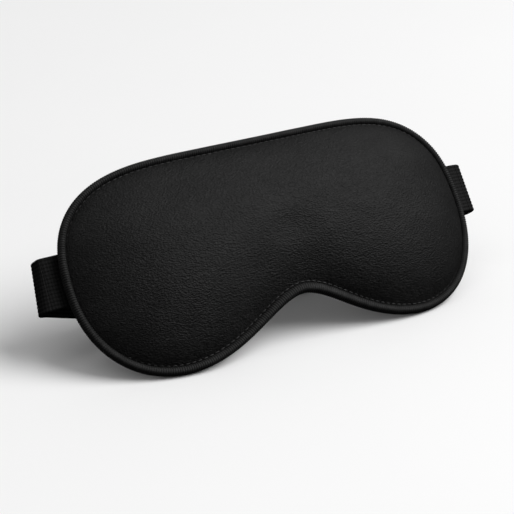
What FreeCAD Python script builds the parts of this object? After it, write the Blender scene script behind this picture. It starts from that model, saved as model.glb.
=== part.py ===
import math
import os

import FreeCAD
import Part
import Sketcher

# A padded sleep eye mask with an elastic head strap, its slider and its ring, standing on a table.
# It is modelled in the mask's own frame: +X to the side, +Y backwards to the face, +Z up the mask,
# with the middle of the outline's width at X = 0. At the end every sub-part is leaned back about X
# by the same angle and set down, so that Z = 0 is the table and X = Y = 0 the middle of the footprint.

Vector = FreeCAD.Vector

# ---------------------------------------------------------------- driving dimensions

DIMENSIONS = {
    "mask_width": 210.0,  # across the binding's centre line
    "mask_height": 98.0,  # from the lobes' lowest point to the top edge, on that line
    "lean_angle": 40.0,  # how far the mask leans back from upright, as it stands
    "side_wrap": 10.4,  # how far the sides curve back round the face
    "nose_flare": 4.5,  # how far the nose arch's rim stands forward
    "lobe_crown": 10.5,  # height of the front padding over each eye
    "back_padding": 4.0,  # height of the padding round each eye on the face side
    "eye_hollow": 8.5,  # depth of the hollow behind each eye
    "edge_thickness": 2.8,  # the layers together at the edge
    "cover_thickness": 0.9,
    "interlining_thickness": 0.4,
    "lining_thickness": 0.9,
    "binding_width": 3.6,  # across the tape, in the plane of the mask
    "binding_depth": 6.2,  # through the mask
    "strap_width": 25.0,
    "strap_thickness": 1.2,
    "strap_rise": 6.5,  # how far above mid-height the strap's ends are sewn on
    "strap_drop": 10.0,  # how much lower the rear of the strap hangs than its ends
    "fold_reach": 118.2,  # from the middle to each side fold of the strap
    "fold_radius": 4.6,
    "play": 0.3,  # free gap between pieces that move past each other
    "hardware_height": 31.0,  # slider and ring, across the strap
    "slot_height": 26.2,
    "slider_length": 20.0,
    "slider_depth": 6.15,
    "slider_rounding": 0.8,
    "slider_bar": 3.0,  # width of the slider's three bars
    "side_bar_thickness": 1.6,
    "middle_bar_thickness": 1.4,
    "slider_middle": -6.0,  # where the slider's middle bar stands along X
    "ring_length": 14.4,
    "ring_bar": 2.6,  # width and thickness of the ring's bars
    "ring_middle": 40.0,  # where the ring's middle stands along X
    "stitch_length": 2.6,
    "stitch_thread": 0.5,
}

doc = FreeCAD.newDocument("sleep_eye_mask")
sheet = doc.addObject("Spreadsheet::Sheet", "Dimensions")
for row, (alias, value) in enumerate(DIMENSIONS.items(), start=1):
    sheet.set(f"A{row}", alias)
    sheet.set(f"B{row}", str(value))
    sheet.setAlias(f"B{row}", alias)
doc.recompute()


def size(alias):
    """A driving dimension, read back from the sheet."""
    return float(sheet.get(alias))


HALF_WIDTH = size("mask_width") / 2
HEIGHT = size("mask_height")
LEAN = size("lean_angle")
THICKNESS = size("strap_thickness")
STRAP_WIDTH = size("strap_width")
RISE = size("strap_rise")
REAR_LEVEL = RISE - size("strap_drop")
PLAY = size("play")

sub_parts = []


def add_feature(label, shape):
    """A sub-part whose shape comes from Part's own functions."""
    feature = doc.addObject("Part::Feature", label)
    feature.Label = label
    feature.Shape = shape
    sub_parts.append(feature)
    return feature


# ---------------------------------------------------------------- the mask's outline

# Right half of the binding's centre line, from the top middle round to the nose notch,
# in shares of the half width and of the height, with 0 at mid-height.
HALF_OUTLINE = [
    (0.000, 0.495),
    (0.290, 0.498),
    (0.540, 0.497),
    (0.725, 0.466),
    (0.871, 0.384),
    (0.962, 0.256),
    (0.999, 0.055),
    (0.987, -0.140),
    (0.919, -0.315),
    (0.795, -0.442),
    (0.629, -0.500),
    (0.467, -0.487),
    (0.305, -0.424),
    (0.152, -0.336),
    (0.067, -0.295),
    (0.000, -0.281),
]


def outline_curve():
    """The whole outline as one closed curve in the plane Y = 0."""
    left_half = [(-x, z) for x, z in reversed(HALF_OUTLINE[1:-1])]
    points = [Vector(x * HALF_WIDTH, 0, z * HEIGHT) for x, z in HALF_OUTLINE + left_half]
    curve = Part.BSplineCurve()
    curve.interpolate(Points=points, PeriodicFlag=True)
    return curve


def outline_samples(count, inset=0.0):
    """Points evenly spaced round the outline, moved inwards by inset."""
    curve = outline_curve()
    samples = []
    for edge_point in curve.toShape().discretize(Number=count + 1)[:-1]:
        tangent = curve.tangent(curve.parameter(edge_point))[0]
        inward = Vector(-tangent.z, 0, tangent.x)
        if inward.dot(edge_point) > 0:
            inward = inward * -1
        samples.append(edge_point + inward * inset)
    return samples


def closed_curve(points):
    curve = Part.BSplineCurve()
    curve.interpolate(Points=points, PeriodicFlag=True)
    return Part.Wire([curve.toShape()])


# ---------------------------------------------------------------- the mask's surfaces

SOFTNESS = 0.18  # how gently the padding runs out at the edge
WRAP_CURVE = (1.244, -0.244)  # shares of the wrap that grow as the square and the fourth power
NOSE_REACH = 22.0  # half width of the rim's forward bend at the nose
NOSE_FADE = 12.0  # height over which that bend fades out
LOBE_MIDDLE = 0.57  # where each lobe is lowest, as a share of the half width
LOBE_BOTTOM = 0.39  # mean height of the lower edge below mid-height, as a share of the height
ARCH_RISE = 0.11  # how far the lower edge swings above and below that mean
VALLEY_DEPTH = 0.75  # share of the crown that is missing above the nose
VALLEY_REACH = 25.0  # half width of the valley
VALLEY_TOP = 5.0  # height at which the valley is half as deep
VALLEY_FADE = 17.0
EYE_MIDDLE = (52.5, -2.0)  # middle of the hollow behind each eye
EYE_REACH = (29.0, 21.0)  # half width and half height of that hollow


def soft_clip(value):
    """value where it is positive, running smoothly to zero below."""
    return (value + math.hypot(value, SOFTNESS)) / 2


def wrap_depth(x, z):
    """The mask's middle surface: it curves back at the sides and forward at the nose arch."""
    share = x / HALF_WIDTH
    wrap = size("side_wrap") * (WRAP_CURVE[0] * share**2 + WRAP_CURVE[1] * share**4)
    below_middle = (1 - math.tanh(z / NOSE_FADE)) / 2
    return wrap - size("nose_flare") * math.exp(-((x / NOSE_REACH) ** 2)) * below_middle


def fullness(x, z):
    """1 in the middle of the mask, falling to 0 at its outline."""
    reach = min(abs(x) / (LOBE_MIDDLE * HALF_WIDTH), 1.0)
    bottom = -HEIGHT * (LOBE_BOTTOM - ARCH_RISE * math.cos(math.pi * reach))
    top = HEIGHT / 2
    across = abs(z - (top + bottom) / 2) / ((top - bottom) / 2)
    return soft_clip(1 - (x / HALF_WIDTH) ** 4 - across**4)


def front_depth(x, z):
    """The outer face of the front: a crown over both eyes, with a valley above the nose."""
    below_top = (1 - math.tanh((z - VALLEY_TOP) / VALLEY_FADE)) / 2
    valley = VALLEY_DEPTH * math.exp(-((x / VALLEY_REACH) ** 2)) * below_top
    crown = size("lobe_crown") * fullness(x, z) * (1 - valley)
    return wrap_depth(x, z) - size("edge_thickness") / 2 - crown


def back_depth(x, z):
    """The face side: soft padding with a shallow hollow behind each eye."""
    padding = size("back_padding") * fullness(x, z)
    aside = (abs(x) - EYE_MIDDLE[0]) / EYE_REACH[0]
    above = (z - EYE_MIDDLE[1]) / EYE_REACH[1]
    hollow = size("eye_hollow") * math.exp(-((aside**2 + above**2) ** 2))
    return wrap_depth(x, z) + size("edge_thickness") / 2 + padding - hollow


def surface_face(depth_of, offset):
    """A face over the whole mask and a little beyond it, offset backwards along Y."""
    columns = 44
    rows = 24
    margin = 8
    reach_x = HALF_WIDTH + margin
    reach_z = HEIGHT / 2 + margin
    grid = []
    for i in range(columns + 1):
        x = reach_x * (2 * i / columns - 1)
        grid.append([])
        for j in range(rows + 1):
            z = reach_z * (2 * j / rows - 1)
            grid[-1].append(Vector(x, depth_of(x, z) + offset, z))
    surface = Part.BSplineSurface()
    surface.interpolate(grid)
    return surface.toShape()


def outline_prism():
    """Everything inside the binding, from front to back."""
    inset = size("binding_width") / 2 + 2 * PLAY
    reach = 60
    stations = 72
    wire = closed_curve([p - Vector(0, reach, 0) for p in outline_samples(stations, inset)])
    return Part.Face(wire).extrude(Vector(0, 2 * reach, 0))


def skin(face, thickness, prism):
    """A sheet of even thickness behind a surface, cut to the mask's outline."""
    return face.extrude(Vector(0, thickness, 0)).common(prism)


def make_padding():
    prism = outline_prism()
    beyond = 80
    cover = size("cover_thickness")
    interlining = size("interlining_thickness")
    lining = size("lining_thickness")
    add_feature("front_cover", skin(surface_face(front_depth, 0), cover, prism))
    add_feature("interlining", skin(surface_face(front_depth, cover), interlining, prism))
    add_feature("back_lining", skin(surface_face(back_depth, -lining), lining, prism))
    behind_front = surface_face(front_depth, cover + interlining).extrude(Vector(0, beyond, 0))
    behind_back = surface_face(back_depth, -lining).extrude(Vector(0, beyond, 0))
    add_feature("foam_pad", behind_front.common(prism).cut(behind_back))


def make_binding():
    """A rounded tape: a smooth ring of oval sections on the mask's middle surface."""
    stations = 60
    sides = 8
    swell = 3 / (2 + math.cos(2 * math.pi / sides))  # a smooth oval lies inside its corner points
    half_depth = Vector(0, size("binding_depth") / 2 * swell, 0)
    inset = size("binding_width") / 2 * swell
    poles = []
    for middle, inner in zip(outline_samples(stations), outline_samples(stations, inset)):
        centre = Vector(middle.x, wrap_depth(middle.x, middle.z), middle.z)
        across = inner - middle
        angles = [2 * math.pi * side / sides for side in range(sides)]
        poles.append([centre + half_depth * math.cos(a) + across * math.sin(a) for a in angles])
    surface = Part.BSplineSurface()
    surface.buildFromPolesMultsKnots(
        poles,
        [1] * (stations + 1),
        [1] * (sides + 1),
        list(range(stations + 1)),
        list(range(sides + 1)),
        True,
        True,
        3,
        3,
    )
    tape = Part.Solid(Part.Shell([surface.toShape()]))
    if tape.Volume < 0:
        tape.reverse()
    return add_feature("edge_binding", tape)


# ---------------------------------------------------------------- placing on the table


def leaned(shape):
    """A copy of the shape as it stands, before it is set down."""
    copy = shape.copy()
    copy.rotate(Vector(0, 0, 0), Vector(1, 0, 0), -LEAN)
    return copy


def strap_depth(binding):
    """How far behind the mask the rear strap lies, so that the slider stands on the table."""
    table = leaned(binding).optimalBoundingBox(False, False).ZMin
    up = math.cos(math.radians(LEAN))
    forward = math.sin(math.radians(LEAN))
    bottom = REAR_LEVEL - size("hardware_height") / 2
    corner = size("slider_rounding") * (up + forward - 1)
    depth = (bottom * up - table + corner) / forward
    return depth - (size("side_bar_thickness") + PLAY + THICKNESS / 2)


# ---------------------------------------------------------------- the strap


def rounded_path(points, radii):
    """Straight runs through the points, joined by tangent arcs of the given radii."""
    edges = []
    start = points[0]
    for corner, after, radius in zip(points[1:-1], points[2:], radii):
        into = (corner - start).normalize()
        out = (after - corner).normalize()
        turn = into.getAngle(out)
        setback = radius * math.tan(turn / 2)
        arc_start = corner - into * setback
        arc_end = corner + out * setback
        bisector = (out - into).normalize()
        middle = corner + bisector * (radius / math.cos(turn / 2) - radius)
        edges.append(Part.LineSegment(start, arc_start).toShape())
        edges.append(Part.Arc(arc_start, middle, arc_end).toShape())
        start = arc_end
    edges.append(Part.LineSegment(start, points[-1]).toShape())
    return Part.Wire(edges)


def ribbon(path, thickness=THICKNESS, width=STRAP_WIDTH):
    """A flat band swept along a path in the plane Z = 0, its width upright."""
    first = path.Edges[0]
    point = first.valueAt(first.FirstParameter)
    along = first.tangentAt(first.FirstParameter)
    across = Vector(-along.y, along.x, 0) * (thickness / 2)
    upright = Vector(0, 0, width / 2)
    corners = [
        point + across + upright,
        point - across + upright,
        point - across - upright,
        point + across - upright,
    ]
    section = Part.makePolygon(corners + corners[:1])
    return path.makePipeShell([section], True, False)


def straight_ribbon(start, end):
    return ribbon(Part.Wire([Part.LineSegment(start, end).toShape()]))


def sloping(shape, slope, depth):
    """The shape at the height of the strap's ends, falling by slope behind the given depth."""
    matrix = FreeCAD.Matrix()
    matrix.A32 = -slope
    matrix.A34 = slope * depth + RISE
    return shape.transformGeometry(matrix)


def mirrored(shape):
    return shape.mirror(Vector(0, 0, 0), Vector(1, 0, 0))


def at_height(shape, height):
    copy = shape.copy()
    copy.translate(Vector(0, 0, height))
    return copy


class StrapLayout:
    """Named points of the strap, seen from above the mask, on the right-hand side."""

    def __init__(self, rear_depth):
        reach = size("fold_reach")
        self.rear = rear_depth
        self.return_depth = rear_depth - 2 * (THICKNESS + PLAY) - size("middle_bar_thickness")
        self.inner_end = Vector(95.0, 13.2, 0)
        self.crest = Vector(102.0, 14.9, 0)
        self.seam = Vector(107.6, 14.9, 0)
        self.leave = Vector(108.0, 14.9, 0)
        self.before_fold = Vector(111.5, 14.9, 0)
        self.fold_front = Vector(reach, 16.4, 0)
        self.fold_back = Vector(reach, 24.1, 0)
        self.level = Vector(62.0, rear_depth, 0)
        self.slope = (rear_depth - self.fold_back.y) / (reach - self.level.x)
        self.fold_end = self.behind_edge(112.4)
        self.run_start = self.behind_edge(112.0)
        self.fall = size("strap_drop") / (rear_depth - self.run_start.y)

    def behind_edge(self, x):
        """The point of the rear layer at a given distance from the middle."""
        return Vector(x, self.fold_back.y + self.slope * (self.fold_back.x - x), 0)


BEND = 30.0  # radius of the strap's gentle bends, beside a seam and where the rear run levels out
SMALL_BEND = 8.0  # radius of the bend just before each fold
RAMP_BEND = 4.0  # radius of the bends in the short strap's turned-back end


def make_side_straps(layout):
    """On each side: the end sewn behind the binding, and the fold that turns the strap back."""
    end = ribbon(rounded_path([layout.inner_end, layout.crest, layout.seam], [BEND]))
    add_feature("right_strap_end", at_height(end, RISE))
    add_feature("left_strap_end", at_height(mirrored(end), RISE))
    points = [
        layout.leave,
        layout.before_fold,
        layout.fold_front,
        layout.fold_back,
        layout.fold_end,
    ]
    radii = [SMALL_BEND, size("fold_radius"), size("fold_radius")]
    fold = at_height(ribbon(rounded_path(points, radii)), RISE)
    add_feature("right_strap_fold", fold)
    add_feature("left_strap_fold", mirrored(fold))


TURN_TAIL = 2.3  # straight part on each end of the turn round the ring
LOOP_TAIL = 9.5  # straight part on each end of the loop round the slider's bar
TACK_INSET = 1.5  # how far from the loop's end its tack stitches are


def u_turn(middle, radius, tail, side):
    """A path that comes in along X, goes half round the point and leaves again."""
    top = middle + Vector(0, radius, 0)
    bottom = middle - Vector(0, radius, 0)
    tip = middle + Vector(side * radius, 0, 0)
    back = Vector(-side * tail, 0, 0)
    return Part.Wire(
        [
            Part.LineSegment(top + back, top).toShape(),
            Part.Arc(top, tip, bottom).toShape(),
            Part.LineSegment(bottom, bottom + back).toShape(),
        ]
    )


def make_long_strap(layout):
    """From the left fold along the rear to the ring, round it and back to the slider's bar.

    Returns the middle of the loop round the slider's bar.
    """
    mean_depth = (layout.rear + layout.return_depth) / 2
    turn_radius = (layout.rear - layout.return_depth) / 2
    bar = Vector(size("ring_middle") - (size("ring_length") - size("ring_bar")) / 2, mean_depth, 0)
    near_ring = bar.x - TURN_TAIL - PLAY
    points = [
        Vector(-layout.run_start.x, layout.run_start.y, 0),
        Vector(-layout.level.x, layout.rear, 0),
        Vector(near_ring, layout.rear, 0),
    ]
    run = ribbon(rounded_path(points, [BEND]))
    add_feature("long_strap", sloping(run, layout.fall, layout.run_start.y))
    turn = ribbon(u_turn(bar, turn_radius, TURN_TAIL, 1))
    add_feature("long_strap_turn", at_height(turn, REAR_LEVEL))
    loop_radius = (size("middle_bar_thickness") + THICKNESS + PLAY) / 2
    bar_edge = size("slider_middle") - size("slider_bar") / 2
    loop_middle = Vector(bar_edge, layout.return_depth + loop_radius, 0)
    loop = ribbon(u_turn(loop_middle, loop_radius, LOOP_TAIL, -1))
    add_feature("slider_loop", at_height(loop, REAR_LEVEL))
    loop_end = Vector(loop_middle.x + LOOP_TAIL + PLAY, layout.return_depth, 0)
    back_run = straight_ribbon(loop_end, Vector(near_ring, layout.return_depth, 0))
    add_feature("long_strap_return", at_height(back_run, REAR_LEVEL))
    return loop_middle


SHORT_LEVEL_RUN = 6.0  # level part at the end of the short strap's rear run
SHORT_LAP = 4.0  # where its loop starts, inside that level part
SEWN_INSET = 3.0  # where the loop's tack stitches are
SEWN_GAP = 0.05  # between the strap and its turned-back end
TURNED_BACK = (3.0, 9.0, 16.0)  # where the end leaves the bar, meets the strap and stops


def make_short_strap(layout):
    """From the right fold to the ring, round its bar and back onto itself.

    Returns the middle of the ring's bar inside its loop.
    """
    mean_depth = (layout.rear + layout.return_depth) / 2
    turn_radius = (layout.rear - layout.return_depth) / 2
    bar = Vector(size("ring_middle") + (size("ring_length") - size("ring_bar")) / 2, mean_depth, 0)
    overlap = Vector(layout.level.x - SHORT_LEVEL_RUN, layout.rear, 0)
    loop_start = Vector(layout.level.x - SHORT_LAP, layout.rear, 0)
    points = [layout.run_start, layout.level, overlap]
    run = ribbon(rounded_path(points, [BEND]))
    top = bar + Vector(0, turn_radius, 0)
    bottom = bar - Vector(0, turn_radius, 0)
    beside = layout.rear - THICKNESS - SEWN_GAP
    ramp = [
        bottom,
        bottom + Vector(TURNED_BACK[0], 0, 0),
        Vector(bar.x + TURNED_BACK[1], beside, 0),
        Vector(bar.x + TURNED_BACK[2], beside, 0),
    ]
    loop = Part.Wire(
        [
            Part.LineSegment(loop_start, top).toShape(),
            Part.Arc(top, bar - Vector(turn_radius, 0, 0), bottom).toShape(),
        ]
        + rounded_path(ramp, [RAMP_BEND, RAMP_BEND]).Edges
    )
    upper = sloping(run, layout.fall, layout.run_start.y)
    lower = at_height(ribbon(loop), REAR_LEVEL)
    add_feature("short_strap", upper.fuse(lower).removeSplitter())
    return bar


# ---------------------------------------------------------------- slider and ring


def rectangle_sketch(body, name, length, height):
    """A rectangle centred on the body's origin in its XZ plane, its sizes bound to the sheet."""
    sketch = body.newObject("Sketcher::SketchObject", name)
    plane = [f for f in body.Origin.OriginFeatures if f.Role == "XZ_Plane"][0]
    sketch.AttachmentSupport = [(plane, "")]
    sketch.MapMode = "FlatFace"
    corners = [Vector(-1, -1, 0), Vector(1, -1, 0), Vector(1, 1, 0), Vector(-1, 1, 0)]
    for index in range(4):
        sketch.addGeometry(Part.LineSegment(corners[index], corners[(index + 1) % 4]), False)
    for index in range(4):
        joined = (index + 1) % 4
        sketch.addConstraint(Sketcher.Constraint("Coincident", index, 2, joined, 1))
    sketch.addConstraint(Sketcher.Constraint("Horizontal", 0))
    sketch.addConstraint(Sketcher.Constraint("Horizontal", 2))
    sketch.addConstraint(Sketcher.Constraint("Vertical", 1))
    sketch.addConstraint(Sketcher.Constraint("Vertical", 3))
    sketch.addConstraint(Sketcher.Constraint("Symmetric", 0, 1, 1, 2, -1, 1))
    length_size = sketch.addConstraint(Sketcher.Constraint("DistanceX", 0, 1, 0, 2, 2.0))
    height_size = sketch.addConstraint(Sketcher.Constraint("DistanceY", 1, 1, 1, 2, 2.0))
    sketch.setExpression(f"Constraints[{length_size}]", length)
    sketch.setExpression(f"Constraints[{height_size}]", height)
    return sketch


def add_body(label):
    body = doc.addObject("PartDesign::Body", label)
    body.Label = label
    sub_parts.append(body)
    return body


def add_pad(body, name, sketch, length):
    """Material from the sketch backwards along +Y, its length bound to the sheet."""
    pad = body.newObject("PartDesign::Pad", name)
    pad.Profile = sketch
    pad.setExpression("Length", length)
    pad.Reversed = True
    doc.recompute()
    return pad


def add_pocket(body, name, sketch, length):
    """A cut from the sketch backwards along +Y; it must take material away."""
    before = body.Shape.Volume
    pocket = body.newObject("PartDesign::Pocket", name)
    pocket.Profile = sketch
    pocket.setExpression("Length", length)
    doc.recompute()
    assert body.Shape.Volume < before, name + " cuts nothing"
    return pocket


def add_rounding(body, name, base, radius):
    """A fillet on every edge of the body so far."""
    fillet = body.newObject("PartDesign::Fillet", name)
    edges = [f"Edge{number}" for number in range(1, len(base.Shape.Edges) + 1)]
    fillet.Base = (base, edges)
    fillet.setExpression("Radius", radius)
    doc.recompute()
    return fillet


def make_slider(layout):
    """A frame of two rails: side bars behind the moving strap, a middle bar in front of it."""
    body = add_body("slider")
    length = "Dimensions.slider_length"
    height = "Dimensions.hardware_height"
    slot = "Dimensions.slot_height"
    outer = rectangle_sketch(body, "slider_outline", length, height)
    block = add_pad(body, "slider_block", outer, "Dimensions.slider_depth")
    add_rounding(body, "slider_rounding", block, "Dimensions.slider_rounding")
    channel = rectangle_sketch(body, "strap_channel", length + " + 2", slot)
    channel_depth = "Dimensions.slider_depth - Dimensions.side_bar_thickness"
    add_pocket(body, "channel_cut", channel, channel_depth)
    window = rectangle_sketch(body, "window", length + " - 2 * Dimensions.slider_bar", slot)
    add_pocket(body, "window_cut", window, "Dimensions.slider_depth + 1")
    bar_height = slot + " + 2 * Dimensions.play"
    bar = rectangle_sketch(body, "middle_bar", "Dimensions.slider_bar", bar_height)
    add_pad(body, "middle_bar_pad", bar, "Dimensions.middle_bar_thickness")
    inner_face = size("slider_depth") - size("side_bar_thickness") - PLAY - THICKNESS / 2
    body.Placement.Base = Vector(size("slider_middle"), layout.rear - inner_face, REAR_LEVEL)


def make_ring(layout):
    """A rectangular ring of round bars."""
    body = add_body("ring")
    length = "Dimensions.ring_length"
    outer = rectangle_sketch(body, "ring_outline", length, "Dimensions.hardware_height")
    add_pad(body, "ring_block", outer, "Dimensions.ring_bar")
    window_length = length + " - 2 * Dimensions.ring_bar"
    window = rectangle_sketch(body, "ring_window", window_length, "Dimensions.slot_height")
    cut = add_pocket(body, "ring_window_cut", window, "Dimensions.ring_bar + 1")
    add_rounding(body, "ring_rounding", cut, "Dimensions.ring_bar * 0.4")
    mean_depth = (layout.rear + layout.return_depth) / 2
    front = mean_depth - size("ring_bar") / 2
    body.Placement.Base = Vector(size("ring_middle"), front, REAR_LEVEL)


# ---------------------------------------------------------------- stitches


STITCHES = 7  # in each row across the strap
ROW_MARGIN = 2.0  # from the strap's edge to the middle of a row's last stitch
THREAD_GAP = 0.02  # between a stitch and the strap under it
SEAM_ROWS = (1.6, 3.6)  # how far in from the mask's side each row of stitches runs


def stitch(middle):
    """One short upright length of thread."""
    length = size("stitch_length")
    thread = size("stitch_thread")
    corner = middle - Vector(thread / 2, thread / 2, length / 2)
    return Part.makeBox(thread, thread, length, corner)


def stitch_row(start, end):
    """Upright stitches evenly spaced from start to end."""
    step = (end - start) * (1 / (STITCHES - 1))
    return [stitch(start + step * index) for index in range(STITCHES)]


def make_stitches(layout, loop_middle):
    """Two rows across each strap end, and a row across each loop of the strap."""
    lift = size("stitch_thread") / 2 + THREAD_GAP
    on_strap = THICKNESS / 2 + lift
    half_row = Vector(0, 0, STRAP_WIDTH / 2 - ROW_MARGIN)
    rows = []
    for inset in SEAM_ROWS:
        base = layout.seam + Vector(-inset, on_strap, 0)
        rows += stitch_row(base - half_row, base + half_row)
    seam = at_height(Part.makeCompound(rows), RISE)
    add_feature("right_seam_stitches", seam)
    add_feature("left_seam_stitches", mirrored(seam))
    loop_end = loop_middle.x + LOOP_TAIL - TACK_INSET
    tack = Vector(loop_end, layout.return_depth - on_strap, REAR_LEVEL)
    add_feature("slider_tack", Part.makeCompound(stitch_row(tack - half_row, tack + half_row)))
    turned_back = layout.rear - 1.5 * THICKNESS - SEWN_GAP
    sewn = Vector(layout.level.x - SEWN_INSET, turned_back - lift, REAR_LEVEL)
    add_feature("ring_tack", Part.makeCompound(stitch_row(sewn - half_row, sewn + half_row)))


# ---------------------------------------------------------------- assembly


def combined_box():
    box = FreeCAD.BoundBox()
    for sub_part in sub_parts:
        for point in sub_part.Shape.tessellate(0.05)[0]:
            box.add(point)
    return box


def stand_on_table():
    """Leans every sub-part back, then moves the footprint's middle to the origin."""
    lean = FreeCAD.Placement(Vector(0, 0, 0), FreeCAD.Rotation(Vector(1, 0, 0), -LEAN))
    for sub_part in sub_parts:
        sub_part.Placement = lean.multiply(sub_part.Placement)
    doc.recompute()
    box = combined_box()
    shift = FreeCAD.Placement(Vector(-box.Center.x, -box.Center.y, -box.ZMin), FreeCAD.Rotation())
    for sub_part in sub_parts:
        sub_part.Placement = shift.multiply(sub_part.Placement)
    doc.recompute()
    return shift.multiply(lean)


make_padding()
binding_feature = make_binding()
strap_layout = StrapLayout(strap_depth(binding_feature.Shape))
make_side_straps(strap_layout)
loop_middle = make_long_strap(strap_layout)
ring_bar = make_short_strap(strap_layout)
make_slider(strap_layout)
make_ring(strap_layout)
make_stitches(strap_layout, loop_middle)
stand = stand_on_table()

for item in doc.Objects:
    assert "Invalid" not in item.State and "Error" not in item.State, item.Name + " failed"
os.makedirs("parts", exist_ok=True)
for sub_part in sub_parts:
    shape = sub_part.Shape
    assert not shape.isNull() and shape.isValid(), sub_part.Label + " is not a valid shape"
    shape.exportStep(os.path.join("parts", sub_part.Label + ".step"))
    print(sub_part.Label, round(shape.Volume, 1), len(shape.Solids))

hinge = stand.multVec(Vector(0, strap_layout.seam.y, RISE))
ring_axis = stand.multVec(ring_bar + Vector(0, 0, REAR_LEVEL))
print("strap depth", round(strap_layout.rear, 2), "strap hinge", hinge, "ring hinge", ring_axis)
print("box", combined_box())
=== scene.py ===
import math

import bmesh
import bpy
import numpy as np
from mathutils import Matrix, Vector, noise
from mathutils.geometry import delaunay_2d_cdt

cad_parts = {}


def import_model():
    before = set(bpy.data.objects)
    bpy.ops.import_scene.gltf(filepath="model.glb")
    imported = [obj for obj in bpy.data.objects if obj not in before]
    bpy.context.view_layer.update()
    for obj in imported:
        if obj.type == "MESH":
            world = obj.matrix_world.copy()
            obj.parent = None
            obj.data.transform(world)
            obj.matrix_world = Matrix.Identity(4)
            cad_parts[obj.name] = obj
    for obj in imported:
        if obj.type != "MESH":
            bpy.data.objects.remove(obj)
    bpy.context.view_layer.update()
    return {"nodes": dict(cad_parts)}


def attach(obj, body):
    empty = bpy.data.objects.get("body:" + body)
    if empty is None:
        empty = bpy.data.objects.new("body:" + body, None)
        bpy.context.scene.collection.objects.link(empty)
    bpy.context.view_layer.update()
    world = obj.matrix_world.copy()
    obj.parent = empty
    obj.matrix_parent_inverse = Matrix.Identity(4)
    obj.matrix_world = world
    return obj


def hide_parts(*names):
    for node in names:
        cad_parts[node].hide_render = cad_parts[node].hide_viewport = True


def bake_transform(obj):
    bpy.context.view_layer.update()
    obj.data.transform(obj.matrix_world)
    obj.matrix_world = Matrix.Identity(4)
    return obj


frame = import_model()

# A padded sleep eye mask on a pale table. Lengths are in millimetres in the mask's own frame:
# x to the side, d (depth) backwards to the face, z up the mask. world() leans that frame back
# and sets it on the table, in metres.

LEAN = math.radians(40)
SHIFT_Y = -5.058  # where the mask's origin stands on the table
SHIFT_Z = 42.753  # and how high above it
HALF_WIDTH = 105.0
HEIGHT = 98.0


def world(x, d, z):
    """Points of the mask's frame in metres, as they stand."""
    x, d, z = np.broadcast_arrays(x, d, z)
    y_out = d * math.cos(LEAN) + z * math.sin(LEAN) + SHIFT_Y
    z_out = -d * math.sin(LEAN) + z * math.cos(LEAN) + SHIFT_Z
    return np.stack([x, y_out, z_out], axis=-1) / 1000


# ---------------------------------------------------------------- the outline

# The binding's centre line, right half, in shares of the half width and the height.
HALF_OUTLINE = np.array(
    [
        (0.000, 0.495),
        (0.290, 0.498),
        (0.540, 0.497),
        (0.725, 0.466),
        (0.871, 0.384),
        (0.962, 0.256),
        (0.999, 0.055),
        (0.987, -0.140),
        (0.919, -0.315),
        (0.795, -0.442),
        (0.629, -0.500),
        (0.467, -0.487),
        (0.305, -0.424),
        (0.152, -0.336),
        (0.067, -0.295),
        (0.000, -0.281),
    ]
)


def smooth_loop(points, count):
    """A closed cubic spline through the points, sampled evenly along its length."""
    per_gap = 60
    n = len(points)
    gaps = np.linalg.norm(np.roll(points, -1, 0) - points, axis=1)
    slopes = (np.roll(points, -1, 0) - points) / gaps[:, None]
    system = np.zeros((n, n))
    target = np.zeros((n, 2))
    for i in range(n):
        before = gaps[i - 1]
        system[i, i - 1] = before
        system[i, i] = 2 * (before + gaps[i])
        system[i, (i + 1) % n] = gaps[i]
        target[i] = 6 * (slopes[i] - slopes[i - 1])
    bends = np.linalg.solve(system, target)
    fine = []
    for i in range(n):
        h, a, b = gaps[i], bends[i], bends[(i + 1) % n]
        p, q = points[i], points[(i + 1) % n]
        t = np.linspace(0, h, per_gap, endpoint=False)[:, None]
        rise = a * (h - t) ** 3 / (6 * h) + b * t**3 / (6 * h)
        fine.append(rise + (p / h - a * h / 6) * (h - t) + (q / h - b * h / 6) * t)
    fine = np.vstack(fine)
    closed = np.vstack([fine, fine[:1]])
    length = np.concatenate([[0], np.cumsum(np.linalg.norm(np.diff(closed, axis=0), axis=1))])
    at = np.linspace(0, length[-1], count, endpoint=False)
    return np.stack([np.interp(at, length, closed[:, k]) for k in (0, 1)], axis=1)


def outline(count):
    """Points round the outline and their inward normals."""
    right = HALF_OUTLINE * (HALF_WIDTH, HEIGHT)
    left = right[-2:0:-1] * (-1, 1)
    points = smooth_loop(np.vstack([right, left]), count)
    along = np.roll(points, -1, 0) - np.roll(points, 1, 0)
    along /= np.linalg.norm(along, axis=1)[:, None]
    inward = np.stack([along[:, 1], -along[:, 0]], axis=1)
    if inward[0, 1] > 0:
        inward = -inward
    return points, inward


FINE_OUTLINE = outline(1600)[0]


def bell(value, reach):
    """1 where value is 0, falling to nothing well beyond reach."""
    return np.exp(-((value / reach) ** 2))


def below(z, level, fade):
    """1 far below the level, 0 far above it."""
    return (1 - np.tanh((z - level) / fade)) / 2


TAPE_REACH = 1.9  # how far the binding reaches inwards from its centre line
TAPE_MORE_BELOW = 0.5
TAPE_MORE_AT_NOSE = 0.9


def tape_inset(points):
    """How far the binding reaches inwards at each point: more below and at the nose."""
    x, z = points[..., 0], points[..., 1]
    nose = bell(x, 30) * below(z, -5, 8)
    return TAPE_REACH + TAPE_MORE_BELOW * below(z, -22, 14) + TAPE_MORE_AT_NOSE * nose


def seam_distance(points):
    """Distance of each point inwards from the binding's inner edge."""
    distance = np.empty(len(points))
    at_once = 500
    for start in range(0, len(points), at_once):
        part = points[start : start + at_once]
        gaps = np.linalg.norm(part[:, None] - FINE_OUTLINE[None], axis=2)
        nearest = gaps.argmin(1)
        distance[start : start + at_once] = gaps.min(1) - tape_inset(FINE_OUTLINE[nearest])
    return distance


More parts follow.
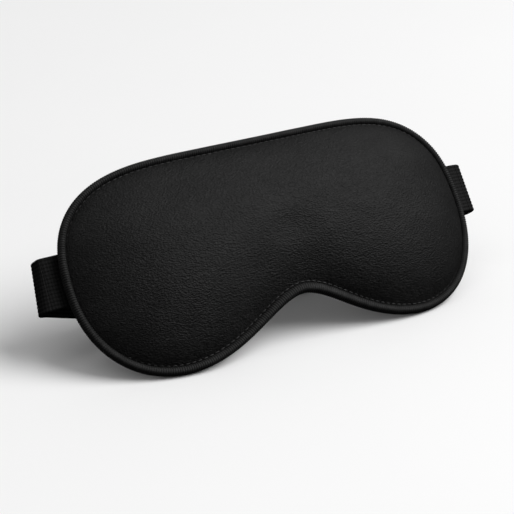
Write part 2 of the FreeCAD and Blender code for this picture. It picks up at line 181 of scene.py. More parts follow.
# ---------------------------------------------------------------- the mask's surfaces

SIDE_WRAP = 10.4  # how far the sides curve back round the face
NOSE_FLARE = 4.5  # how far the nose arch's rim stands forward
EDGE_FRONT = 1.0  # from the middle surface to the cover, at the seam
EDGE_BACK = 0.9  # from the middle surface to the lining, at the seam
FRONT_CROWN = 12.6
BACK_PADDING = 2.9
EYE_HOLLOW = 8.5
LOBE_MIDDLE = 0.57  # where each lobe is lowest, as a share of the half width


def wrap_depth(x, z):
    """The middle surface: it curves back at the sides and forward at the nose arch."""
    share = x / HALF_WIDTH
    flare = NOSE_FLARE * bell(x, 22) * below(z, 0, 12)
    return SIDE_WRAP * (1.244 * share**2 - 0.244 * share**4) - flare


def fullness(x, z):
    """1 in the middle of the mask, falling to 0 at its outline."""
    softness = 0.18
    reach = np.minimum(abs(x) / (LOBE_MIDDLE * HALF_WIDTH), 1)
    bottom = -HEIGHT * (0.39 - 0.11 * np.cos(math.pi * reach))
    top = HEIGHT * 0.5
    across = abs(z - (top + bottom) / 2) / ((top - bottom) / 2)
    value = 1 - (x / HALF_WIDTH) ** 4 - across**4
    return (value + np.hypot(value, softness)) / 2


def shoulder(distance, reach):
    """The roll beside a seam: steep at the seam, level from reach on."""
    t = np.clip(distance / reach, 0, 1)
    return (1 - (1 - t) ** 2.2) ** 0.55


def front_depth(x, z, distance):
    """The outer face of the front: it rolls up from the seam over both eyes.

    It reaches its full height soonest low down, just right of the nose arch.
    """
    valley = 0.4 * bell(x, 16) * below(z, 4, 14)
    reach = 46 - 19 * below(z, -4, 14) * bell(x - 20, 32)
    dome = 1 - (1 - np.clip(distance / reach, 0, 1)) ** 2
    crown = 1.3 * shoulder(distance, 4) + FRONT_CROWN * dome
    return wrap_depth(x, z) - EDGE_FRONT - crown * (1 - valley) * (distance > -0.01)


def back_depth(x, z, distance):
    """The face side, with a hollow behind each eye."""
    padding = 1.6 * shoulder(distance, 5) + BACK_PADDING * fullness(x, z)
    off_middle = ((abs(x) - 0.5 * HALF_WIDTH) / 29) ** 2 + ((z + 2) / 21) ** 2
    raised = padding * (distance > -0.01)
    return wrap_depth(x, z) + EDGE_BACK + raised - EYE_HOLLOW * np.exp(-(off_middle**2))


# ---------------------------------------------------------------- mesh helpers


def new_object(name, vertices, faces, smooth=True):
    mesh = bpy.data.meshes.new(name)
    mesh.from_pydata([tuple(v) for v in vertices], [], [tuple(f) for f in faces])
    mesh.validate()
    piece = bpy.data.objects.new(name, mesh)
    bpy.context.scene.collection.objects.link(piece)
    mesh.polygons.foreach_set("use_smooth", [smooth] * len(mesh.polygons))
    return piece


def coordinates(mesh):
    flat = np.empty(len(mesh.vertices) * 3)
    mesh.vertices.foreach_get("co", flat)
    return flat.reshape(-1, 3)


def subdivided(piece):
    """The piece with one level of subdivision made part of its mesh."""
    modifier = piece.modifiers.new("smooth", "SUBSURF")
    modifier.levels = 1
    modifier.render_levels = 1
    graph = bpy.context.evaluated_depsgraph_get()
    mesh = bpy.data.meshes.new_from_object(piece.evaluated_get(graph))
    piece.modifiers.clear()
    piece.data = mesh
    mesh.polygons.foreach_set("use_smooth", [True] * len(mesh.polygons))
    return piece


def tube_faces(rings, around, closed):
    """Quads between successive rings of points, with end caps if the tube is open."""
    faces = []
    for i in range(rings if closed else rings - 1):
        a, b = i * around, ((i + 1) % rings) * around
        for j in range(around):
            k = (j + 1) % around
            faces.append((a + j, b + j, b + k, a + k))
    if not closed:
        faces.append(tuple(range(around)))
        faces.append(tuple(reversed(range((rings - 1) * around, rings * around))))
    return faces


UNDER_TAPE = 0.6  # how far the pads run in under the binding
SEAM_RINGS = (-UNDER_TAPE, 0, 0.25, 0.6, 1.2, 2, 3.1, 4.6)


def sheet_plan(spacing):
    """A flat net of triangles inside the binding, finer beside the seam."""
    count = 300
    points, inward = outline(count)
    inset = tape_inset(points)[:, None]
    rings = [points + inward * (inset + step) for step in SEAM_RINGS]
    grid = []
    rows = int(HEIGHT / spacing) + 2
    columns = int(2 * HALF_WIDTH / spacing) + 2
    for row in range(-rows, rows + 1):
        for column in range(-columns, columns + 1):
            grid.append((spacing * (column + 0.5 * (row % 2)), spacing * 0.866 * row))
    grid = np.array(grid)
    grid = grid[(abs(grid[:, 0]) < HALF_WIDTH) & (abs(grid[:, 1]) < HEIGHT / 2)]
    grid = grid[winding_inside(grid, points)]
    grid = grid[seam_distance(grid) > SEAM_RINGS[-1] + 0.7 * spacing]
    plan = np.vstack(rings + [grid])
    border = list(range(count))
    result = delaunay_2d_cdt([Vector(p) for p in plan], [], [border], 1, 1e-5)
    net = np.array([tuple(v) for v in result[0]])
    faces = [tuple(f) for f in result[2]]
    edge = np.full(len(net), -1)
    for index, sources in enumerate(result[3]):
        for source in sources:
            if source < count:
                edge[index] = source
    return net, faces, edge


def winding_inside(points, loop):
    """Which points lie inside the closed loop."""
    inside = np.zeros(len(points), bool)
    after = np.roll(loop, -1, 0)
    for a, b in zip(loop, after):
        crosses = (a[1] > points[:, 1]) != (b[1] > points[:, 1])
        with np.errstate(divide="ignore", invalid="ignore"):
            at = a[0] + (points[:, 1] - a[1]) * (b[0] - a[0]) / (b[1] - a[1])
        inside ^= crosses & (points[:, 0] < at)
    return inside


def padded_shell(name, front_of, back_of, spacing):
    """A closed pad: two nets over the same plan, joined round the edge.

    Returns the pad and how many of its points are on the front.
    """
    net, faces, edge = sheet_plan(spacing)
    distance = seam_distance(net)
    distance[edge >= 0] = -1
    x, z = net[:, 0], net[:, 1]
    front = world(x, front_of(x, z, distance), z)
    back = world(x, back_of(x, z, distance), z)
    count = len(net)
    shell = [tuple(reversed(f)) for f in faces] + [tuple(i + count for i in f) for f in faces]
    order = [int(np.where(edge == i)[0][0]) for i in range(edge.max() + 1)]
    for i, a in enumerate(order):
        b = order[(i + 1) % len(order)]
        shell.append((a, b, b + count, a + count))
    piece = new_object(name, np.vstack([front, back]), shell)
    make_normals_face_out(piece)
    return piece, count


def make_normals_face_out(piece):
    work = bmesh.new()
    work.from_mesh(piece.data)
    bmesh.ops.recalc_face_normals(work, faces=work.faces)
    work.to_mesh(piece.data)
    work.free()


def inflate(piece, pinned, pressure, cap):
    """Swells the piece as cloth under pressure; pinned points stay, others move up to cap."""
    rest = coordinates(piece.data)
    scale = 10.0  # cloth works on a larger copy, because its lengths suit furniture
    last_frame = 20
    piece.data.vertices.foreach_set("co", (rest * scale).ravel())
    group = piece.vertex_groups.new(name="pinned")
    group.add([int(i) for i in pinned], 1.0, "REPLACE")
    cloth = piece.modifiers.new("cloth", "CLOTH")
    settings = cloth.settings
    settings.quality = 6
    settings.mass = 0.3
    settings.tension_stiffness = 20
    settings.compression_stiffness = 20
    settings.shear_stiffness = 8
    settings.bending_stiffness = 1.5
    settings.tension_damping = 10
    settings.compression_damping = 10
    settings.vertex_group_mass = "pinned"
    settings.use_pressure = True
    settings.uniform_pressure_force = pressure
    settings.effector_weights.gravity = 0
    cloth.collision_settings.use_collision = False
    cloth.collision_settings.use_self_collision = False
    scene = bpy.context.scene
    cloth.point_cache.frame_start = 1
    cloth.point_cache.frame_end = last_frame
    for number in range(1, last_frame + 1):
        scene.frame_set(number)
    graph = bpy.context.evaluated_depsgraph_get()
    swollen = coordinates(piece.evaluated_get(graph).data) / scale
    piece.modifiers.clear()
    piece.vertex_groups.clear()
    scene.frame_set(1)
    move = swollen - rest
    far = np.linalg.norm(move, axis=1)
    share = np.minimum(1, cap / np.maximum(far, 1e-9))
    piece.data.vertices.foreach_set("co", (rest + move * share[:, None]).ravel())
    piece.data.update()


# ---------------------------------------------------------------- padding, lining and binding

PRESSURE = 12.0  # of the cloth simulation
MOST_SWELL = 0.0016  # metres
FRONT_SPACING = 2.6
BACK_SPACING = 2.8
LINING_THICKNESS = 1.6
LINING_ROOM = 1.7  # from the lining's outer face to the hidden face of the padded front
LEAST_PADDING = 1.2


def front_inside(x, z, distance):
    """The hidden face of the padded front, just ahead of the lining pad."""
    behind = back_depth(x, z, distance) - LINING_ROOM
    return np.maximum(behind, front_depth(x, z, distance) + LEAST_PADDING)


def lining_inside(x, z, distance):
    """The lining pad's hidden face."""
    return back_depth(x, z, distance) - LINING_THICKNESS


def make_front():
    piece, count = padded_shell("padded_front", front_depth, front_inside, FRONT_SPACING)
    pinned = list(range(count, 2 * count)) + sorted(edge_points(piece, count))
    inflate(piece, pinned, PRESSURE, MOST_SWELL)
    return subdivided(piece)


def edge_points(piece, count):
    """Points of the front net that are joined to the back net."""
    found = set()
    for edge in piece.data.edges:
        a, b = edge.vertices
        if (a < count) != (b < count):
            found.add(min(a, b))
    return found


def make_back():
    piece, _ = padded_shell("lining_pad", lining_inside, back_depth, BACK_SPACING)
    return subdivided(piece)


def rounded(value):
    """A circle's sine or cosine pushed outwards, for a slightly boxy section."""
    return math.copysign(abs(value) ** 0.92, value)


def make_binding():
    """The folded tape: a rounded section with fine ribs across it."""
    ribs = 500
    per_rib = 4
    count = ribs * per_rib
    around = 26
    outer_reach = 1.7
    half_depth = 2.72
    rib_height = 0.085  # as a share of the section
    unevenness = 0.03
    points, inward = outline(count)
    inset = tape_inset(points)
    wrap = wrap_depth(points[:, 0], points[:, 1])
    vertices = np.empty((count, around, 3))
    rib = np.cos(2 * math.pi * np.arange(count) / per_rib)
    drift = np.array([noise.noise(Vector((p[0] / 14, p[1] / 14, 3.1))) for p in points])
    swell = 1 + rib_height * rib + unevenness * drift
    for j in range(around):
        angle = 2 * math.pi * j / around
        u = rounded(math.cos(angle))
        v = rounded(math.sin(angle))
        side = inset if u > 0 else np.full(count, outer_reach)
        flat = points + inward * (side * u * swell)[:, None]
        depth = wrap + half_depth * v * swell
        vertices[:, j] = world(flat[:, 0], depth, flat[:, 1])
    piece = new_object("binding", vertices.reshape(-1, 3), tube_faces(count, around, True))
    make_normals_face_out(piece)
    return piece


BACKWARDS = world(0, 1.0, 0) - world(0, 0, 0)
BACKWARDS /= np.linalg.norm(BACKWARDS)


def thread_run(points, outward, step, length, radius):
    """Stitches along a line of points: short rounded threads that dip at both ends."""
    gaps = np.linalg.norm(np.diff(points, axis=0), axis=1)
    at = np.concatenate([[0], np.cumsum(gaps)])
    vertices, faces = [], []
    total = at[-1]
    number = int(total / step)
    sides = 6
    stations = 5
    nearby = 1e-4
    for n in range(number):
        middle = (n + 0.5) * total / number
        base = len(vertices)
        for s in range(stations):
            share = s / (stations - 1)
            where = middle + (share - 0.5) * length
            centre, ahead, behind = (
                np.array([np.interp(place, at, points[:, k]) for k in range(3)])
                for place in (where, where + nearby, where - nearby)
            )
            along = (ahead - behind) / max(np.linalg.norm(ahead - behind), 1e-12)
            up = outward - along * outward.dot(along)
            up /= np.linalg.norm(up)
            cross = np.cross(along, up)
            dip = -radius * 1.2 * (2 * share - 1) ** 4
            thick = radius * (1 - 0.35 * (2 * share - 1) ** 4)
            for j in range(sides):
                angle = 2 * math.pi * j / sides
                offset = up * (math.cos(angle) * thick + dip) + cross * math.sin(angle) * thick
                vertices.append(centre + offset)
        faces += [tuple(i + base for i in f) for f in tube_faces(stations, sides, False)]
    return vertices, faces


def make_seam_threads():
    """The seam beside the binding: in the ditch in front, along the tape's edge behind."""
    points, inward = outline(900)
    inset = tape_inset(points)
    wrap = wrap_depth(points[:, 0], points[:, 1])
    seams = []
    for name, reach, depth, side in (
        ("front_seam_thread", inset + 0.22, wrap - 1.75, -1),
        ("back_seam_thread", inset - 0.85, wrap + 2.45, 1),
    ):
        flat = points + inward * reach[:, None]
        line = world(flat[:, 0], depth, flat[:, 1])
        line = np.vstack([line, line[:1]])
        vertices, faces = thread_run(
            line, side * BACKWARDS, step=0.0030, length=0.0024, radius=0.00024
        )
        piece = new_object(name, vertices, faces)
        make_normals_face_out(piece)
        seams.append(piece)
    return seams


# ---------------------------------------------------------------- the strap

STRAP_WIDTH = 25.0
STRAP_THICKNESS = 1.2
STRAP_RIBS = 14
RIB_DEPTH = 0.24
SEAM_DEPTH = 14.9  # where the strap is sewn on
REAR_DEPTH = 41.88  # the rear run
RETURN_DEPTH = REAR_DEPTH - 4.4  # the layer that comes back from the ring
RISE = 6.5  # height of the strap's middle at the sewn ends
REAR_LEVEL = RISE - 10.0  # and at the rear
FOLD_OUT = 118.2  # how far out the folds stand
FOLD_BACK = 24.1  # where the run to the rear leaves the fold
RUN_END = 62.0  # where that run meets the rear
RUN_SLOPE = (REAR_DEPTH - FOLD_BACK) / (FOLD_OUT - RUN_END)
RUN_START = FOLD_BACK + RUN_SLOPE * (FOLD_OUT - 114.5)
JOIN = 113.6  # where the sewn end's band hands over to the band of the fold
FOLD_TILT = 0.15  # how far the left fold leans in for each millimetre up
RING_LEFT = 34.1
RING_RIGHT = 45.9
RING_END = 26.0  # where the bands round the ring meet the bands beside it
SLIDER_BAR = -7.5
SLIDER_LOOP_RADIUS = 1.45
SHORT_LAP = REAR_DEPTH - STRAP_THICKNESS - 0.05  # the short strap's turned end, on its rear run


def rounded_line(points, radii, step=0.9):
    """Points along straight runs joined by arcs, in the plane of x and d."""
    points = [np.array(p, float) for p in points]
    out = []

    def run(a, b):
        pieces = max(1, int(np.linalg.norm(b - a) / step))
        for k in range(pieces):
            out.append(a + (b - a) * k / pieces)

    start = points[0]
    for corner, after, radius in zip(points[1:-1], points[2:], radii):
        into = (corner - start) / np.linalg.norm(corner - start)
        away = (after - corner) / np.linalg.norm(after - corner)
        turn = math.acos(max(-1, min(1, into.dot(away))))
        side = math.copysign(1, into[0] * away[1] - into[1] * away[0])
        setback = radius * math.tan(turn / 2)
        first = corner - into * setback
        run(start, first)
        centre = first + side * radius * np.array([-into[1], into[0]])
        spoke = first - centre
        pieces = max(3, int(radius * turn / (step * 0.6)))
        for k in range(pieces):
            angle = side * turn * k / pieces
            c, s = math.cos(angle), math.sin(angle)
            turned = (spoke[0] * c - spoke[1] * s, spoke[0] * s + spoke[1] * c)
            out.append(centre + np.array(turned))
        start = corner + away * setback
    run(start, points[-1])
    out.append(points[-1])
    return np.array(out)


def u_turn(middle, radius, side):
    """Half a circle from behind the point round to its front."""
    step = 0.35
    pieces = int(math.pi * radius / step) + 2
    angles = np.linspace(math.pi / 2, -math.pi / 2, pieces)
    spokes = np.stack([side * radius * np.cos(angles), radius * np.sin(angles)], axis=1)
    return middle + spokes


def height_at(depth):
    """The height of the strap's middle: level as far as the fold, then falling to the rear."""
    share = np.clip((depth - RUN_START) / (REAR_DEPTH - RUN_START), 0, 1)
    return RISE + (REAR_LEVEL - RISE) * share


def rib_section():
    """Half thickness and place of each point across the band, with rounded ribs."""
    per_rib = 5
    places = np.linspace(-1, 1, STRAP_RIBS * per_rib + 1)
    ribs = abs(np.sin(math.pi * STRAP_RIBS * (places + 1) / 2)) ** 0.7
    edge = np.clip((1 - abs(places)) / 0.035, 0, 1) ** 0.5
    half = (STRAP_THICKNESS / 2 - RIB_DEPTH + RIB_DEPTH * ribs) * (0.25 + 0.75 * edge)
    return places * STRAP_WIDTH / 2, half


def band(name, line, levels):
    """A ribbed elastic band along a line; levels is the height of its middle at each point."""
    along = np.gradient(line, axis=0)
    along /= np.linalg.norm(along, axis=1)[:, None]
    side = np.stack([-along[:, 1], along[:, 0]], axis=1)
    places, half = rib_section()
    upper = np.stack([places, half], 1)
    section = np.vstack([upper, upper[::-1] * (1, -1)])
    length = np.concatenate([[0], np.cumsum(np.linalg.norm(np.diff(line, axis=0), axis=1))])
    rings = []
    for point, across, level, at in zip(line, side, levels, length):
        narrow = 1 + 0.006 * noise.noise(Vector((at / 9, level / 5, 7.7)))
        flat = point + across * section[:, 1:]
        rings.append(world(flat[:, 0], flat[:, 1], level + section[:, 0] * narrow))
    around = len(section)
    piece = new_object(name, np.vstack(rings), tube_faces(len(line), around, False))
    uv = piece.data.uv_layers.new(name="weave")
    loops = np.empty(len(piece.data.loops), int)
    piece.data.loops.foreach_get("vertex_index", loops)
    u = length[loops // around] / 1000
    v = section[loops % around, 0] / 1000
    uv.data.foreach_set("uv", np.stack([u, v], 1).ravel())
    flatten_ends(piece, around)
    make_normals_face_out(piece)
    return piece


def flatten_ends(piece, around):
    """Flat shading on a band's two cut ends."""
    for polygon in piece.data.polygons:
        if len(polygon.vertices) == around:
            polygon.use_smooth = False


def side_line():
    """The strap from its sewn end out to the fold and back to the rear, right-hand side."""
    corners = [
        (95.0, 13.2),
        (102.0, SEAM_DEPTH),
        (111.5, SEAM_DEPTH),
        (FOLD_OUT, 16.4),
        (FOLD_OUT, FOLD_BACK),
        (RUN_END, REAR_DEPTH),
        (42.0, REAR_DEPTH),
    ]
    return rounded_line(corners, [30, 8, 4.6, 4.6, 30])


def split_at_join(line):
    """The line cut in two where it first passes JOIN."""
    index = int(np.argmax(line[:, 0] > JOIN))
    share = (JOIN - line[index - 1, 0]) / (line[index, 0] - line[index - 1, 0])
    cut = line[index - 1] + share * (line[index] - line[index - 1])
    return np.vstack([line[:index], cut]), np.vstack([cut, line[index:]])


def tilt_left_fold(piece):
    """The left fold runs slightly askew: its upper edge lies nearer to the mask."""
    starts = 112.5
    grows_over = 5.5
    points = coordinates(piece.data)
    y = points[:, 1] * 1000 - SHIFT_Y
    z = points[:, 2] * 1000 - SHIFT_Z
    height = y * math.sin(LEAN) + z * math.cos(LEAN)
    outside = np.clip((abs(points[:, 0]) * 1000 - starts) / grows_over, 0, 1)
    above = height - (RISE - STRAP_WIDTH / 2)
    points[:, 0] += FOLD_TILT * above * outside / 1000
    piece.data.vertices.foreach_set("co", points.ravel())
    piece.data.update()


def make_straps():
    """The strap's six bands, by name."""
    pieces = {}

    def add(name, *lines, level=None):
        """A band along the lines, at one level or falling from the fold to the rear."""
        line = np.vstack(lines)
        levels = height_at(line[:, 1]) if level is None else np.full(len(line), level)
        pieces[name] = band(name, line, levels)

    root, rest = split_at_join(side_line())
    add("right_strap_root", root)
    add("left_strap_root", root[::-1] * (-1, 1))

    to_left = rest * (-1, 1)
    rear = rounded_line([(-43.5, REAR_DEPTH), (RING_END, REAR_DEPTH)], [], 2.5)
    add("long_band", to_left[to_left[:, 0] < -44], rear)
    tilt_left_fold(pieces["long_band"])
    tilt_left_fold(pieces["left_strap_root"])

    turn_radius = (REAR_DEPTH - RETURN_DEPTH) / 2
    turn_middle = (REAR_DEPTH + RETURN_DEPTH) / 2
    to_ring = rounded_line([(RING_END, REAR_DEPTH), (RING_LEFT, REAR_DEPTH)], [])[:-1]
    from_ring = rounded_line([(RING_LEFT, RETURN_DEPTH), (RING_END, RETURN_DEPTH)], [])[1:]
    turn = u_turn((RING_LEFT, turn_middle), turn_radius, 1)
    add("ring_turn_band", to_ring, turn, from_ring, level=REAR_LEVEL)

    lap = RETURN_DEPTH + 2 * SLIDER_LOOP_RADIUS
    to_bar = rounded_line([(RING_END, RETURN_DEPTH), (SLIDER_BAR, RETURN_DEPTH)], [])[:-1]
    from_bar = rounded_line([(SLIDER_BAR, lap), (2.0, lap)], [])[1:]
    loop_middle = (SLIDER_BAR, RETURN_DEPTH + SLIDER_LOOP_RADIUS)
    loop = u_turn(loop_middle, SLIDER_LOOP_RADIUS, -1)[::-1]
    add("slider_band", to_bar, loop, from_bar, level=REAR_LEVEL)

    near_ring = rest[rest[:, 0] > 46.6]
    loop = u_turn((RING_RIGHT, turn_middle), turn_radius, -1)
    lap = [(RING_RIGHT, RETURN_DEPTH), (48.9, RETURN_DEPTH), (54.9, SHORT_LAP), (61.9, SHORT_LAP)]
    lap = rounded_line(lap, [4, 4])[1:]
    line = np.vstack([near_ring, loop, lap])
    levels = height_at(line[:, 1])
    levels[len(near_ring) :] = REAR_LEVEL
    pieces["short_band"] = band("short_band", line, levels)
    return pieces


def stitch_columns(name, columns):
    """Rows of stitches across the strap: each column is (x, depth, level, side)."""
    count = 40
    reach = 10.8
    vertices, faces = [], []
    for x, depth, level, side in columns:
        line = world(x, depth, np.linspace(-reach, reach, count) + level)
        more, shapes = thread_run(
            line, side * BACKWARDS, step=0.0031, length=0.0025, radius=0.00026
        )
        faces += [tuple(i + len(vertices) for i in f) for f in shapes]
        vertices += more
    piece = new_object(name, vertices, faces)
    make_normals_face_out(piece)
    return piece


# ---------------------------------------------------------------- materials


class Shader:
    """A node material, built up step by step."""

    def __init__(self, name):
        self.material = bpy.data.materials.new(name)
        self.material.use_nodes = True
        self.nodes = self.material.node_tree.nodes
        self.links = self.material.node_tree.links
        self.surface = self.nodes["Principled BSDF"]

    def set(self, **values):
        for name, value in values.items():
            self.surface.inputs[name.replace("_", " ")].default_value = value

    def node(self, kind, **values):
        node = self.nodes.new(kind)
        for name, value in values.items():
            if hasattr(node, name):
                setattr(node, name, value)
            else:
                node.inputs[name.replace("_", " ")].default_value = value
        return node

    def link(self, source, target):
        self.links.new(source, target)

    def coordinates(self, scale=(1, 1, 1), uv=None):
        if uv:
            source = self.node("ShaderNodeUVMap", uv_map=uv).outputs["UV"]
        else:
            source = self.node("ShaderNodeTexCoord").outputs["Object"]
        mapping = self.node("ShaderNodeMapping")
        mapping.inputs["Scale"].default_value = scale
        self.link(source, mapping.inputs["Vector"])
        return mapping.outputs["Vector"]

    def noise(self, vector, scale, detail=3.0, roughness=0.6):
        node = self.node("ShaderNodeTexNoise", Scale=scale, Detail=detail, Roughness=roughness)
        self.link(vector, node.inputs["Vector"])
        return node.outputs["Fac"]

    def voronoi(self, vector, scale):
        node = self.node("ShaderNodeTexVoronoi", Scale=scale)
        self.link(vector, node.inputs["Vector"])
        return node.outputs["Distance"]

    def wave(self, vector, scale, direction, distortion, detail):
        node = self.node(
            "ShaderNodeTexWave",
            wave_type="BANDS",
            bands_direction=direction,
            Scale=scale,
            Distortion=distortion,
            Detail=detail,
        )
        self.link(vector, node.inputs["Vector"])
        return node.outputs["Fac"]

    def math(self, operation, a, b):
        node = self.node("ShaderNodeMath", operation=operation)
        for index, value in enumerate((a, b)):
            if isinstance(value, (int, float)):
                node.inputs[index].default_value = value
            else:
                self.link(value, node.inputs[index])
        return node.outputs[0]

    def mix(self, a, b, share):
        """This share of a and the rest of b."""
        rest = self.math("MULTIPLY", b, 1 - share)
        return self.math("ADD", self.math("MULTIPLY", a, share), rest)

    def ramp(self, factor, stops):
        node = self.node("ShaderNodeValToRGB")
        elements = node.color_ramp.elements
        while len(elements) < len(stops):
            elements.new(0.5)
        for element, (position, colour) in zip(elements, stops):
            element.position = position
            element.color = (*colour, 1)
        self.link(factor, node.inputs["Fac"])
        return node.outputs["Color"]

    def bump(self, height, distance, strength):
        node = self.node("ShaderNodeBump", Distance=distance, Strength=strength)
        self.link(height, node.inputs["Height"])
        return node.outputs["Normal"]

    def finish(self, colour, normal, roughness=None):
        self.link(colour, self.surface.inputs["Base Color"])
        self.link(normal, self.surface.inputs["Normal"])
        if roughness is not None:
            self.link(roughness, self.surface.inputs["Roughness"])
        return self.material


def grey(value):
    return (value, value, value)


def cover_material():
    """Fine pebbly weave, nearly matt."""
    s = Shader("cover_fabric")
    s.set(Roughness=0.5, Specular_IOR_Level=0.16)
    v = s.coordinates((0.75, 1.25, 1.25))
    pebbles = s.voronoi(v, 1150)
    grain = s.noise(v, 1000, 4.0, 0.7)
    cloud = s.noise(v, 60, 3.0)
    height = s.math("ADD", s.math("MULTIPLY", pebbles, 0.8), grain)
    mix = s.mix(grain, cloud, 0.75)
    colour = s.ramp(mix, [(0.34, grey(0.0014)), (0.50, grey(0.0055)), (0.66, grey(0.0155))])
    return s.finish(colour, s.bump(height, 0.00034, 1.0))


def lining_material():
    """Soft brushed knit."""
    s = Shader("lining_fabric")
    s.set(Roughness=0.85, Sheen_Weight=0.12, Sheen_Roughness=0.5, Specular_IOR_Level=0.15)
    v = s.coordinates()
    fuzz = s.noise(v, 1700, 5.0, 0.75)
    rows = s.wave(v, 420, "X", 3.0, 2.0)
    height = s.math("ADD", fuzz, s.math("MULTIPLY", rows, 0.35))
    cloud = s.noise(v, 45, 3.0)
    mix = s.mix(fuzz, cloud, 0.6)
    colour = s.ramp(mix, [(0.32, grey(0.014)), (0.55, grey(0.023)), (0.75, grey(0.036))])
    return s.finish(colour, s.bump(height, 0.0003, 0.8))


def binding_material():
    """Ribbed tape: the ribs are in the mesh, the yarn's grain is here."""
    s = Shader("binding_tape")
    s.set(Roughness=0.55, Sheen_Weight=0.02, Sheen_Roughness=0.4, Specular_IOR_Level=0.2)
    v = s.coordinates()
    yarn = s.noise(v, 2200, 4.0, 0.7)
    patches = s.noise(v, 260, 3.0)
    mix = s.mix(yarn, patches, 0.6)
    colour = s.ramp(mix, [(0.34, grey(0.004)), (0.52, grey(0.013)), (0.68, grey(0.030))])
    return s.finish(colour, s.bump(yarn, 0.00025, 0.8))


def elastic_material():
    """Woven elastic: ribs along it in the mesh, fine weft across them here."""
    s = Shader("elastic")
    s.set(Roughness=0.6, Sheen_Weight=0.01, Sheen_Roughness=0.4, Specular_IOR_Level=0.08)
    v = s.coordinates(uv="weave")
    weft = s.wave(v, 210, "X", 1.2, 2.0)
    yarn = s.noise(v, 1500, 3.0, 0.7)
    height = s.math("ADD", s.math("MULTIPLY", weft, 0.3), yarn)
    mix = s.mix(yarn, weft, 0.7)
    colour = s.ramp(mix, [(0.25, grey(0.002)), (0.5, grey(0.005)), (0.75, grey(0.010))])
    return s.finish(colour, s.bump(height, 0.00022, 0.8))


def thread_material():
    """Twisted polyester thread."""
    s = Shader("thread")
    s.set(Roughness=0.55, Sheen_Weight=0.1)
    v = s.coordinates()
    twist = s.wave(v, 900, "DIAGONAL", 1.0, 1.0)
    colour = s.ramp(twist, [(0.2, grey(0.008)), (0.8, grey(0.022))])
    return s.finish(colour, s.bump(twist, 0.00008, 0.8))


def plastic_material():
    """Moulded plastic with a fine matt grain and slight wear."""
    s = Shader("moulded_plastic")
    v = s.coordinates()
    grain = s.noise(v, 2600, 3.0)
    wear = s.noise(v, 220, 4.0, 0.7)
    colour = s.ramp(wear, [(0.35, grey(0.010)), (0.7, grey(0.018))])
    rough = s.math("ADD", s.math("MULTIPLY", wear, 0.35), 0.22)
    return s.finish(colour, s.bump(grain, 0.00004, 0.5), rough)


def paint(piece, material):
    piece.data.materials.clear()
    piece.data.materials.append(material)


# ---------------------------------------------------------------- the object

COVER = cover_material()
LINING = lining_material()
TAPE = binding_material()
ELASTIC = elastic_material()
THREAD = thread_material()
PLASTIC = plastic_material()

padded_front = make_front()
paint(padded_front, COVER)
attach(padded_front, "mask")
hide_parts("front_cover", "interlining", "foam_pad")

lining_pad = make_back()
paint(lining_pad, LINING)
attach(lining_pad, "mask")
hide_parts("back_lining")

binding = make_binding()
paint(binding, TAPE)
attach(binding, "mask")
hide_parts("edge_binding")

for seam in make_seam_threads():
    paint(seam, THREAD)
    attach(seam, "mask")

straps = make_straps()
for strap in straps.values():
    paint(strap, ELASTIC)
for side, sign in (("right", 1), ("left", -1)):
    root = straps[side + "_strap_root"]
    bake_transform(root)
    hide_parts(side + "_strap_end")
for name, sign, nodes in (
    ("short_band", 1, ("right_strap_fold", "short_strap")),
    ("long_band", -1, ("left_strap_fold", "long_strap")),
):
    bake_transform(straps[name])
    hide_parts(*nodes)
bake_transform(straps["ring_turn_band"])
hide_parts("long_strap_turn")
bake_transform(straps["slider_band"])
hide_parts("long_strap_return", "slider_loop")

lift = STRAP_THICKNESS / 2 + 0.16  # from the elastic's middle to the thread that lies on it
for side, sign in (("right", 1), ("left", -1)):
    rows = [(sign * (107.6 - inset), SEAM_DEPTH + lift, RISE, 1) for inset in (1.6, 3.6)]
    seam = stitch_columns(side + "_end_stitches", rows)
    paint(seam, THREAD)
    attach(seam, "mask")
    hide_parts(side + "_seam_stitches")
tack = stitch_columns("slider_end_stitches", [(0.5, RETURN_DEPTH - lift, REAR_LEVEL, -1)])
paint(tack, THREAD)
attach(tack, "slider")
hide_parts("slider_tack")
tack = stitch_columns(
    "ring_end_stitches", [(59.0, SHORT_LAP - lift, REAR_LEVEL, -1)]
)
paint(tack, THREAD)
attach(tack, "rear_strap")
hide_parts("ring_tack")

for node in ("slider", "ring"):
    paint(frame["nodes"][node], PLASTIC)

# ---------------------------------------------------------------- table, lights and camera


def make_floor():
    """The pale table. It shines no light back on to the mask."""
    size = 4.0
    corners = [(-size, -size, 0), (size, -size, 0), (size, size, 0), (-size, size, 0)]
    floor = new_object("table_top", corners, [(0, 1, 2, 3)], smooth=False)
    s = Shader("pale_table")
    s.set(Roughness=0.6)
    cloud = s.noise(s.coordinates(), 3.0)
    colour = s.ramp(cloud, [(0.3, (0.90, 0.90, 0.90)), (0.7, (0.915, 0.915, 0.915))])
    paint(floor, s.finish(colour, s.bump(cloud, 0.0001, 0.1)))
    floor.visible_diffuse = False
    floor.visible_glossy = False


def towards(turn, height):
    """The direction to something that stands turned to the right of the front, and so high."""
    return Vector(
        (
            math.sin(turn) * math.cos(height),
            -math.cos(turn) * math.cos(height),
            math.sin(height),
        )
    )


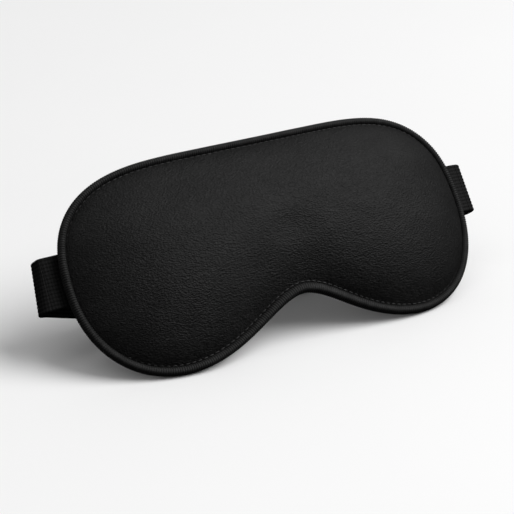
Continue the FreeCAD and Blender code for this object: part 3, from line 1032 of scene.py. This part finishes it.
def make_key_light():
    """A large round light, high on the right."""
    distance = 3.2
    light = bpy.data.lights.new("key", "AREA")
    light.shape = "DISK"
    light.size = 2.7
    light.energy = 101
    lamp = bpy.data.objects.new("key", light)
    direction = towards(math.radians(60), math.radians(49)).normalized()
    lamp.location = Vector((0, 0, 0.03)) + direction * distance
    lamp.rotation_euler = direction.to_track_quat("Z", "Y").to_euler()
    bpy.context.scene.collection.objects.link(lamp)


def light_from_above(tree, at_horizon, overhead):
    """Soft light that grows from the horizon to the point overhead."""
    direction = tree.nodes.new("ShaderNodeTexCoord")
    parts = tree.nodes.new("ShaderNodeSeparateXYZ")
    level = tree.nodes.new("ShaderNodeMapRange")
    level.inputs["To Min"].default_value = at_horizon
    level.inputs["To Max"].default_value = overhead
    tree.links.new(direction.outputs["Generated"], parts.inputs["Vector"])
    tree.links.new(parts.outputs["Z"], level.inputs["Value"])
    tree.links.new(level.outputs["Result"], tree.nodes["Background"].inputs["Strength"])


def make_camera():
    """The view: its turn, height and distance, and how far the mask's middle is off the axis."""
    turn = math.radians(-28.75)
    height = math.radians(25.99)
    distance = 0.848
    off_right = 0.01092
    off_up = 0.01070
    middle = Vector((0, -0.004158, 0.043826))
    back = towards(turn, height)
    right = Vector((math.cos(turn), math.sin(turn), 0))
    up = back.cross(right)
    data = bpy.data.cameras.new("camera")
    data.sensor_width = 36
    data.lens = 126.07
    camera = bpy.data.objects.new("camera", data)
    camera.matrix_world = Matrix(
        (
            (right.x, up.x, back.x, 0),
            (right.y, up.y, back.y, 0),
            (right.z, up.z, back.z, 0),
            (0, 0, 0, 1),
        )
    )
    camera.location = middle + back * distance - right * off_right - up * off_up
    bpy.context.scene.collection.objects.link(camera)
    bpy.context.scene.camera = camera


make_floor()
make_camera()
make_key_light()
surroundings = bpy.data.worlds.new("studio")
surroundings.use_nodes = True
surroundings.node_tree.nodes["Background"].inputs["Color"].default_value = (1, 1, 1, 1)
light_from_above(surroundings.node_tree, at_horizon=0.02, overhead=0.64)
bpy.context.scene.world = surroundings
bpy.context.scene.view_settings.view_transform = "Standard"
